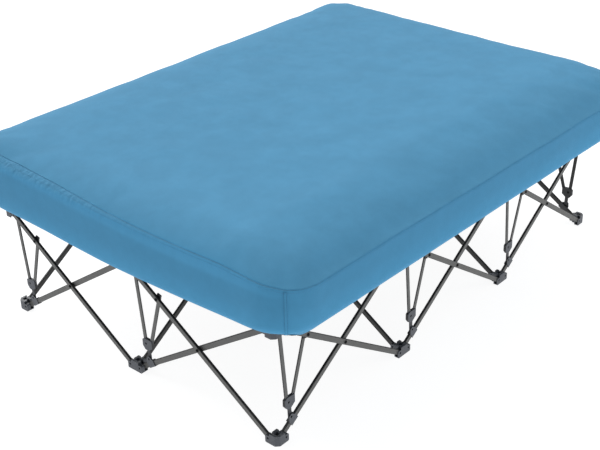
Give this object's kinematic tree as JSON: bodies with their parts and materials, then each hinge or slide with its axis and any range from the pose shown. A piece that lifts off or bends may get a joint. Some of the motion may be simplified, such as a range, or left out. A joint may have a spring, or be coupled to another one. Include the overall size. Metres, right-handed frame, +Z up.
{
  "type": "folding camp bed",
  "caption": "Folding camp bed: a scissor lattice of flat steel tubes and moulded hubs on braced feet carries a fabric deck and a mattress in a fitted cover.",
  "frame": {"origin": "on the floor under the middle of the bed", "axes": "+X along the bed's length, +Y across it, +Z up"},
  "size_m": [1.98, 1.46, 0.635],
  "materials": {
    "hub_plastic": "moulded slate grey plastic, fine grain",
    "tube_steel": "grey powder coat, satin",
    "deck_fabric": "plain woven polyester",
    "cover_fabric": "brushed blue knitted fabric"
  },
  "bodies": {
    "top_hub_11": {"top_hub_11": "hub_plastic"},
    "foot_hub_11": {"foot_hub_11": "hub_plastic"},
    "top_hub_12": {"top_hub_12": "hub_plastic"},
    "foot_hub_12": {"foot_hub_12": "hub_plastic"},
    "top_hub_13": {"top_hub_13": "hub_plastic"},
    "foot_hub_13": {"foot_hub_13": "hub_plastic"},
    "top_hub_21": {"top_hub_21": "hub_plastic"},
    "foot_hub_21": {"foot_hub_21": "hub_plastic"},
    "top_hub_22": {"top_hub_22": "hub_plastic"},
    "foot_hub_22": {"foot_hub_22": "hub_plastic"},
    "top_hub_23": {"top_hub_23": "hub_plastic"},
    "foot_hub_23": {"foot_hub_23": "hub_plastic"},
    "top_hub_31": {"top_hub_31": "hub_plastic"},
    "foot_hub_31": {"foot_hub_31": "hub_plastic"},
    "top_hub_32": {"top_hub_32": "hub_plastic"},
    "foot_hub_32": {"foot_hub_32": "hub_plastic"},
    "top_hub_33": {"top_hub_33": "hub_plastic"},
    "foot_hub_33": {"foot_hub_33": "hub_plastic"},
    "top_hub_41": {"top_hub_41": "hub_plastic"},
    "foot_hub_41": {"foot_hub_41": "hub_plastic"},
    "top_hub_42": {"top_hub_42": "hub_plastic"},
    "foot_hub_42": {"foot_hub_42": "hub_plastic"},
    "top_hub_43": {"top_hub_43": "hub_plastic"},
    "foot_hub_43": {"foot_hub_43": "hub_plastic"},
    "falling_tube_11_21": {"falling_tube_11_21": "tube_steel"},
    "rising_tube_11_21": {"rising_tube_11_21": "tube_steel"},
    "falling_tube_23_13": {"falling_tube_23_13": "tube_steel"},
    "rising_tube_23_13": {"rising_tube_23_13": "tube_steel"},
    "falling_tube_12_22": {"falling_tube_12_22": "tube_steel"},
    "rising_tube_12_22": {"rising_tube_12_22": "tube_steel"},
    "falling_tube_21_31": {"falling_tube_21_31": "tube_steel"},
    "rising_tube_21_31": {"rising_tube_21_31": "tube_steel"},
    "falling_tube_33_23": {"falling_tube_33_23": "tube_steel"},
    "rising_tube_33_23": {"rising_tube_33_23": "tube_steel"},
    "falling_tube_22_32": {"falling_tube_22_32": "tube_steel"},
    "rising_tube_22_32": {"rising_tube_22_32": "tube_steel"},
    "falling_tube_31_41": {"falling_tube_31_41": "tube_steel"},
    "rising_tube_31_41": {"rising_tube_31_41": "tube_steel"},
    "falling_tube_43_33": {"falling_tube_43_33": "tube_steel"},
    "rising_tube_43_33": {"rising_tube_43_33": "tube_steel"},
    "falling_tube_32_42": {"falling_tube_32_42": "tube_steel"},
    "rising_tube_32_42": {"rising_tube_32_42": "tube_steel"},
    "falling_tube_41_42": {"falling_tube_41_42": "tube_steel"},
    "rising_tube_41_42": {"rising_tube_41_42": "tube_steel"},
    "falling_tube_12_11": {"falling_tube_12_11": "tube_steel"},
    "rising_tube_12_11": {"rising_tube_12_11": "tube_steel"},
    "falling_tube_21_22": {"falling_tube_21_22": "tube_steel"},
    "rising_tube_21_22": {"rising_tube_21_22": "tube_steel"},
    "falling_tube_31_32": {"falling_tube_31_32": "tube_steel"},
    "rising_tube_31_32": {"rising_tube_31_32": "tube_steel"},
    "falling_tube_42_43": {"falling_tube_42_43": "tube_steel"},
    "rising_tube_42_43": {"rising_tube_42_43": "tube_steel"},
    "falling_tube_13_12": {"falling_tube_13_12": "tube_steel"},
    "rising_tube_13_12": {"rising_tube_13_12": "tube_steel"},
    "falling_tube_22_23": {"falling_tube_22_23": "tube_steel"},
    "rising_tube_22_23": {"rising_tube_22_23": "tube_steel"},
    "falling_tube_32_33": {"falling_tube_32_33": "tube_steel"},
    "rising_tube_32_33": {"rising_tube_32_33": "tube_steel"},
    "bedding": {"deck": "deck_fabric", "covered_mattress": "cover_fabric"}
  },
  "joints": [
    {"name": "fold", "type": "hinge", "parent": "top_hub_22", "child": "rising_tube_12_22", "pos_m": [-0.3175, 0.0017, 0.3795], "axis": [0, -1, 0], "range_deg": [0, 40]},
    {"name": "fold_12_22_crossing", "type": "hinge", "parent": "rising_tube_12_22", "child": "falling_tube_12_22", "pos_m": [-0.592, 0, 0.198], "axis": [0, -1, 0], "range_deg": [-80, 0]},
    {"name": "fold_12_22_falling_to_hub", "type": "hinge", "parent": "falling_tube_12_22", "child": "top_hub_12", "pos_m": [-0.8665, -0.0085, 0.3795], "axis": [0, -1, 0], "range_deg": [0, 40]},
    {"name": "fold_12_22_rising_to_foot", "type": "hinge", "parent": "rising_tube_12_22", "child": "foot_hub_12", "pos_m": [-0.8665, 0.0017, 0.0165], "axis": [0, -1, 0], "range_deg": [-40, 0]},
    {"name": "fold_12_22_falling_to_foot", "type": "hinge", "parent": "falling_tube_12_22", "child": "foot_hub_22", "pos_m": [-0.3175, -0.0085, 0.0165], "axis": [0, -1, 0], "range_deg": [0, 40]},
    {"name": "fold_22_32_hub_to_falling", "type": "hinge", "parent": "top_hub_22", "child": "falling_tube_22_32", "pos_m": [-0.2745, -0.0085, 0.3795], "axis": [0, -1, 0], "range_deg": [-40, 0]},
    {"name": "fold_22_32_crossing", "type": "hinge", "parent": "falling_tube_22_32", "child": "rising_tube_22_32", "pos_m": [0, 0, 0.198], "axis": [0, -1, 0], "range_deg": [0, 80]},
    {"name": "fold_22_32_rising_to_hub", "type": "hinge", "parent": "rising_tube_22_32", "child": "top_hub_32", "pos_m": [0.2745, 0.0017, 0.3795], "axis": [0, -1, 0], "range_deg": [-40, 0]},
    {"name": "fold_22_32_falling_to_foot", "type": "hinge", "parent": "falling_tube_22_32", "child": "foot_hub_32", "pos_m": [0.2745, -0.0085, 0.0165], "axis": [0, -1, 0], "range_deg": [0, 40]},
    {"name": "fold_21_22_hub_to_rising", "type": "hinge", "parent": "top_hub_22", "child": "rising_tube_21_22", "pos_m": [-0.2977, -0.0215, 0.3795], "axis": [1, 0, 0], "range_deg": [0, 40]},
    {"name": "fold_21_22_crossing", "type": "hinge", "parent": "rising_tube_21_22", "child": "falling_tube_21_22", "pos_m": [-0.296, -0.296, 0.198], "axis": [1, 0, 0], "range_deg": [-80, 0]},
    {"name": "fold_21_22_falling_to_hub", "type": "hinge", "parent": "falling_tube_21_22", "child": "top_hub_21", "pos_m": [-0.2875, -0.5705, 0.3795], "axis": [1, 0, 0], "range_deg": [0, 40]},
    {"name": "fold_21_22_rising_to_foot", "type": "hinge", "parent": "rising_tube_21_22", "child": "foot_hub_21", "pos_m": [-0.2977, -0.5705, 0.0165], "axis": [1, 0, 0], "range_deg": [-40, 0]},
    {"name": "fold_22_23_hub_to_falling", "type": "hinge", "parent": "top_hub_22", "child": "falling_tube_22_23", "pos_m": [-0.2875, 0.0215, 0.3795], "axis": [1, 0, 0], "range_deg": [-40, 0]},
    {"name": "fold_22_23_crossing", "type": "hinge", "parent": "falling_tube_22_23", "child": "rising_tube_22_23", "pos_m": [-0.296, 0.296, 0.198], "axis": [1, 0, 0], "range_deg": [0, 80]},
    {"name": "fold_22_23_rising_to_hub", "type": "hinge", "parent": "rising_tube_22_23", "child": "top_hub_23", "pos_m": [-0.2977, 0.5705, 0.3795], "axis": [1, 0, 0], "range_deg": [-40, 0]},
    {"name": "fold_22_23_falling_to_foot", "type": "hinge", "parent": "falling_tube_22_23", "child": "foot_hub_23", "pos_m": [-0.2875, 0.5705, 0.0165], "axis": [1, 0, 0], "range_deg": [0, 40]},
    {"name": "fold_12_11_hub_to_falling", "type": "hinge", "parent": "top_hub_12", "child": "falling_tube_12_11", "pos_m": [-0.8965, -0.0215, 0.3795], "axis": [-1, 0, 0], "range_deg": [-40, 0]},
    {"name": "fold_12_11_crossing", "type": "hinge", "parent": "falling_tube_12_11", "child": "rising_tube_12_11", "pos_m": [-0.888, -0.296, 0.198], "axis": [-1, 0, 0], "range_deg": [0, 80]},
    {"name": "fold_12_11_rising_to_hub", "type": "hinge", "parent": "rising_tube_12_11", "child": "top_hub_11", "pos_m": [-0.8863, -0.5705, 0.3795], "axis": [-1, 0, 0], "range_deg": [-40, 0]},
    {"name": "fold_12_11_falling_to_foot", "type": "hinge", "parent": "falling_tube_12_11", "child": "foot_hub_11", "pos_m": [-0.8965, -0.5705, 0.0165], "axis": [-1, 0, 0], "range_deg": [0, 40]},
    {"name": "fold_13_12_hub_to_rising", "type": "hinge", "parent": "top_hub_12", "child": "rising_tube_13_12", "pos_m": [-0.8863, 0.0215, 0.3795], "axis": [-1, 0, 0], "range_deg": [0, 40]},
    {"name": "fold_13_12_crossing", "type": "hinge", "parent": "rising_tube_13_12", "child": "falling_tube_13_12", "pos_m": [-0.888, 0.296, 0.198], "axis": [-1, 0, 0], "range_deg": [-80, 0]},
    {"name": "fold_13_12_falling_to_hub", "type": "hinge", "parent": "falling_tube_13_12", "child": "top_hub_13", "pos_m": [-0.8965, 0.5705, 0.3795], "axis": [-1, 0, 0], "range_deg": [0, 40]},
    {"name": "fold_13_12_rising_to_foot", "type": "hinge", "parent": "rising_tube_13_12", "child": "foot_hub_13", "pos_m": [-0.8863, 0.5705, 0.0165], "axis": [-1, 0, 0], "range_deg": [-40, 0]},
    {"name": "fold_32_42_hub_to_falling", "type": "hinge", "parent": "top_hub_32", "child": "falling_tube_32_42", "pos_m": [0.3175, -0.0085, 0.3795], "axis": [0, -1, 0], "range_deg": [-40, 0]},
    {"name": "fold_32_42_crossing", "type": "hinge", "parent": "falling_tube_32_42", "child": "rising_tube_32_42", "pos_m": [0.592, 0, 0.198], "axis": [0, -1, 0], "range_deg": [0, 80]},
    {"name": "fold_32_42_rising_to_hub", "type": "hinge", "parent": "rising_tube_32_42", "child": "top_hub_42", "pos_m": [0.8665, 0.0017, 0.3795], "axis": [0, -1, 0], "range_deg": [-40, 0]},
    {"name": "fold_32_42_falling_to_foot", "type": "hinge", "parent": "falling_tube_32_42", "child": "foot_hub_42", "pos_m": [0.8665, -0.0085, 0.0165], "axis": [0, -1, 0], "range_deg": [0, 40]},
    {"name": "fold_31_32_hub_to_rising", "type": "hinge", "parent": "top_hub_32", "child": "rising_tube_31_32", "pos_m": [0.2943, -0.0215, 0.3795], "axis": [1, 0, 0], "range_deg": [0, 40]},
    {"name": "fold_31_32_crossing", "type": "hinge", "parent": "rising_tube_31_32", "child": "falling_tube_31_32", "pos_m": [0.296, -0.296, 0.198], "axis": [1, 0, 0], "range_deg": [-80, 0]},
    {"name": "fold_31_32_falling_to_hub", "type": "hinge", "parent": "falling_tube_31_32", "child": "top_hub_31", "pos_m": [0.3045, -0.5705, 0.3795], "axis": [1, 0, 0], "range_deg": [0, 40]},
    {"name": "fold_31_32_rising_to_foot", "type": "hinge", "parent": "rising_tube_31_32", "child": "foot_hub_31", "pos_m": [0.2943, -0.5705, 0.0165], "axis": [1, 0, 0], "range_deg": [-40, 0]},
    {"name": "fold_32_33_hub_to_falling", "type": "hinge", "parent": "top_hub_32", "child": "falling_tube_32_33", "pos_m": [0.3045, 0.0215, 0.3795], "axis": [1, 0, 0], "range_deg": [-40, 0]},
    {"name": "fold_32_33_crossing", "type": "hinge", "parent": "falling_tube_32_33", "child": "rising_tube_32_33", "pos_m": [0.296, 0.296, 0.198], "axis": [1, 0, 0], "range_deg": [0, 80]},
    {"name": "fold_32_33_rising_to_hub", "type": "hinge", "parent": "rising_tube_32_33", "child": "top_hub_33", "pos_m": [0.2943, 0.5705, 0.3795], "axis": [1, 0, 0], "range_deg": [-40, 0]},
    {"name": "fold_32_33_falling_to_foot", "type": "hinge", "parent": "falling_tube_32_33", "child": "foot_hub_33", "pos_m": [0.3045, 0.5705, 0.0165], "axis": [1, 0, 0], "range_deg": [0, 40]},
    {"name": "fold_41_42_hub_to_rising", "type": "hinge", "parent": "top_hub_42", "child": "rising_tube_41_42", "pos_m": [0.8863, -0.0215, 0.3795], "axis": [1, 0, 0], "range_deg": [0, 40]},
    {"name": "fold_41_42_crossing", "type": "hinge", "parent": "rising_tube_41_42", "child": "falling_tube_41_42", "pos_m": [0.888, -0.296, 0.198], "axis": [1, 0, 0], "range_deg": [-80, 0]},
    {"name": "fold_41_42_falling_to_hub", "type": "hinge", "parent": "falling_tube_41_42", "child": "top_hub_41", "pos_m": [0.8965, -0.5705, 0.3795], "axis": [1, 0, 0], "range_deg": [0, 40]},
    {"name": "fold_41_42_rising_to_foot", "type": "hinge", "parent": "rising_tube_41_42", "child": "foot_hub_41", "pos_m": [0.8863, -0.5705, 0.0165], "axis": [1, 0, 0], "range_deg": [-40, 0]},
    {"name": "fold_42_43_hub_to_falling", "type": "hinge", "parent": "top_hub_42", "child": "falling_tube_42_43", "pos_m": [0.8965, 0.0215, 0.3795], "axis": [1, 0, 0], "range_deg": [-40, 0]},
    {"name": "fold_42_43_crossing", "type": "hinge", "parent": "falling_tube_42_43", "child": "rising_tube_42_43", "pos_m": [0.888, 0.296, 0.198], "axis": [1, 0, 0], "range_deg": [0, 80]},
    {"name": "fold_42_43_rising_to_hub", "type": "hinge", "parent": "rising_tube_42_43", "child": "top_hub_43", "pos_m": [0.8863, 0.5705, 0.3795], "axis": [1, 0, 0], "range_deg": [-40, 0]},
    {"name": "fold_42_43_falling_to_foot", "type": "hinge", "parent": "falling_tube_42_43", "child": "foot_hub_43", "pos_m": [0.8965, 0.5705, 0.0165], "axis": [1, 0, 0], "range_deg": [0, 40]},
    {"name": "fold_11_21_hub_to_falling", "type": "hinge", "parent": "top_hub_11", "child": "falling_tube_11_21", "pos_m": [-0.8665, -0.6005, 0.3795], "axis": [0, -1, 0], "range_deg": [-40, 0]},
    {"name": "fold_11_21_crossing", "type": "hinge", "parent": "falling_tube_11_21", "child": "rising_tube_11_21", "pos_m": [-0.592, -0.592, 0.198], "axis": [0, -1, 0], "range_deg": [0, 80]},
    {"name": "fold_23_13_hub_to_falling", "type": "hinge", "parent": "top_hub_23", "child": "falling_tube_23_13", "pos_m": [-0.3175, 0.6005, 0.3795], "axis": [0, 1, 0], "range_deg": [-40, 0]},
    {"name": "fold_23_13_crossing", "type": "hinge", "parent": "falling_tube_23_13", "child": "rising_tube_23_13", "pos_m": [-0.592, 0.592, 0.198], "axis": [0, 1, 0], "range_deg": [0, 80]},
    {"name": "fold_21_31_hub_to_falling", "type": "hinge", "parent": "top_hub_21", "child": "falling_tube_21_31", "pos_m": [-0.2745, -0.6005, 0.3795], "axis": [0, -1, 0], "range_deg": [-40, 0]},
    {"name": "fold_21_31_crossing", "type": "hinge", "parent": "falling_tube_21_31", "child": "rising_tube_21_31", "pos_m": [0, -0.592, 0.198], "axis": [0, -1, 0], "range_deg": [0, 80]},
    {"name": "fold_33_23_hub_to_falling", "type": "hinge", "parent": "top_hub_33", "child": "falling_tube_33_23", "pos_m": [0.2745, 0.6005, 0.3795], "axis": [0, 1, 0], "range_deg": [-40, 0]},
    {"name": "fold_33_23_crossing", "type": "hinge", "parent": "falling_tube_33_23", "child": "rising_tube_33_23", "pos_m": [0, 0.592, 0.198], "axis": [0, 1, 0], "range_deg": [0, 80]},
    {"name": "fold_31_41_hub_to_falling", "type": "hinge", "parent": "top_hub_31", "child": "falling_tube_31_41", "pos_m": [0.3175, -0.6005, 0.3795], "axis": [0, -1, 0], "range_deg": [-40, 0]},
    {"name": "fold_31_41_crossing", "type": "hinge", "parent": "falling_tube_31_41", "child": "rising_tube_31_41", "pos_m": [0.592, -0.592, 0.198], "axis": [0, -1, 0], "range_deg": [0, 80]},
    {"name": "fold_43_33_hub_to_falling", "type": "hinge", "parent": "top_hub_43", "child": "falling_tube_43_33", "pos_m": [0.8665, 0.6005, 0.3795], "axis": [0, 1, 0], "range_deg": [-40, 0]},
    {"name": "fold_43_33_crossing", "type": "hinge", "parent": "falling_tube_43_33", "child": "rising_tube_43_33", "pos_m": [0.592, 0.592, 0.198], "axis": [0, 1, 0], "range_deg": [0, 80]},
    {"name": "bedding_lift", "type": "slide", "parent": "top_hub_22", "child": "bedding", "axis": [0, 0, 1], "range_m": [0, 0.35]}
  ],
  "couplings": [
    {"joint": "fold_12_22_crossing", "follows": "fold", "ratio": -2},
    {"joint": "fold_12_22_falling_to_hub", "follows": "fold", "ratio": 1},
    {"joint": "fold_12_22_rising_to_foot", "follows": "fold", "ratio": -1},
    {"joint": "fold_12_22_falling_to_foot", "follows": "fold", "ratio": 1},
    {"joint": "fold_22_32_hub_to_falling", "follows": "fold", "ratio": -1},
    {"joint": "fold_22_32_crossing", "follows": "fold", "ratio": 2},
    {"joint": "fold_22_32_rising_to_hub", "follows": "fold", "ratio": -1},
    {"joint": "fold_22_32_falling_to_foot", "follows": "fold", "ratio": 1},
    {"joint": "fold_21_22_hub_to_rising", "follows": "fold", "ratio": 1},
    {"joint": "fold_21_22_crossing", "follows": "fold", "ratio": -2},
    {"joint": "fold_21_22_falling_to_hub", "follows": "fold", "ratio": 1},
    {"joint": "fold_21_22_rising_to_foot", "follows": "fold", "ratio": -1},
    {"joint": "fold_22_23_hub_to_falling", "follows": "fold", "ratio": -1},
    {"joint": "fold_22_23_crossing", "follows": "fold", "ratio": 2},
    {"joint": "fold_22_23_rising_to_hub", "follows": "fold", "ratio": -1},
    {"joint": "fold_22_23_falling_to_foot", "follows": "fold", "ratio": 1},
    {"joint": "fold_12_11_hub_to_falling", "follows": "fold", "ratio": -1},
    {"joint": "fold_12_11_crossing", "follows": "fold", "ratio": 2},
    {"joint": "fold_12_11_rising_to_hub", "follows": "fold", "ratio": -1},
    {"joint": "fold_12_11_falling_to_foot", "follows": "fold", "ratio": 1},
    {"joint": "fold_13_12_hub_to_rising", "follows": "fold", "ratio": 1},
    {"joint": "fold_13_12_crossing", "follows": "fold", "ratio": -2},
    {"joint": "fold_13_12_falling_to_hub", "follows": "fold", "ratio": 1},
    {"joint": "fold_13_12_rising_to_foot", "follows": "fold", "ratio": -1},
    {"joint": "fold_32_42_hub_to_falling", "follows": "fold", "ratio": -1},
    {"joint": "fold_32_42_crossing", "follows": "fold", "ratio": 2},
    {"joint": "fold_32_42_rising_to_hub", "follows": "fold", "ratio": -1},
    {"joint": "fold_32_42_falling_to_foot", "follows": "fold", "ratio": 1},
    {"joint": "fold_31_32_hub_to_rising", "follows": "fold", "ratio": 1},
    {"joint": "fold_31_32_crossing", "follows": "fold", "ratio": -2},
    {"joint": "fold_31_32_falling_to_hub", "follows": "fold", "ratio": 1},
    {"joint": "fold_31_32_rising_to_foot", "follows": "fold", "ratio": -1},
    {"joint": "fold_32_33_hub_to_falling", "follows": "fold", "ratio": -1},
    {"joint": "fold_32_33_crossing", "follows": "fold", "ratio": 2},
    {"joint": "fold_32_33_rising_to_hub", "follows": "fold", "ratio": -1},
    {"joint": "fold_32_33_falling_to_foot", "follows": "fold", "ratio": 1},
    {"joint": "fold_41_42_hub_to_rising", "follows": "fold", "ratio": 1},
    {"joint": "fold_41_42_crossing", "follows": "fold", "ratio": -2},
    {"joint": "fold_41_42_falling_to_hub", "follows": "fold", "ratio": 1},
    {"joint": "fold_41_42_rising_to_foot", "follows": "fold", "ratio": -1},
    {"joint": "fold_42_43_hub_to_falling", "follows": "fold", "ratio": -1},
    {"joint": "fold_42_43_crossing", "follows": "fold", "ratio": 2},
    {"joint": "fold_42_43_rising_to_hub", "follows": "fold", "ratio": -1},
    {"joint": "fold_42_43_falling_to_foot", "follows": "fold", "ratio": 1},
    {"joint": "fold_11_21_hub_to_falling", "follows": "fold", "ratio": -1},
    {"joint": "fold_11_21_crossing", "follows": "fold", "ratio": 2},
    {"joint": "fold_23_13_hub_to_falling", "follows": "fold", "ratio": -1},
    {"joint": "fold_23_13_crossing", "follows": "fold", "ratio": 2},
    {"joint": "fold_21_31_hub_to_falling", "follows": "fold", "ratio": -1},
    {"joint": "fold_21_31_crossing", "follows": "fold", "ratio": 2},
    {"joint": "fold_33_23_hub_to_falling", "follows": "fold", "ratio": -1},
    {"joint": "fold_33_23_crossing", "follows": "fold", "ratio": 2},
    {"joint": "fold_31_41_hub_to_falling", "follows": "fold", "ratio": -1},
    {"joint": "fold_31_41_crossing", "follows": "fold", "ratio": 2},
    {"joint": "fold_43_33_hub_to_falling", "follows": "fold", "ratio": -1},
    {"joint": "fold_43_33_crossing", "follows": "fold", "ratio": 2}
  ]
}
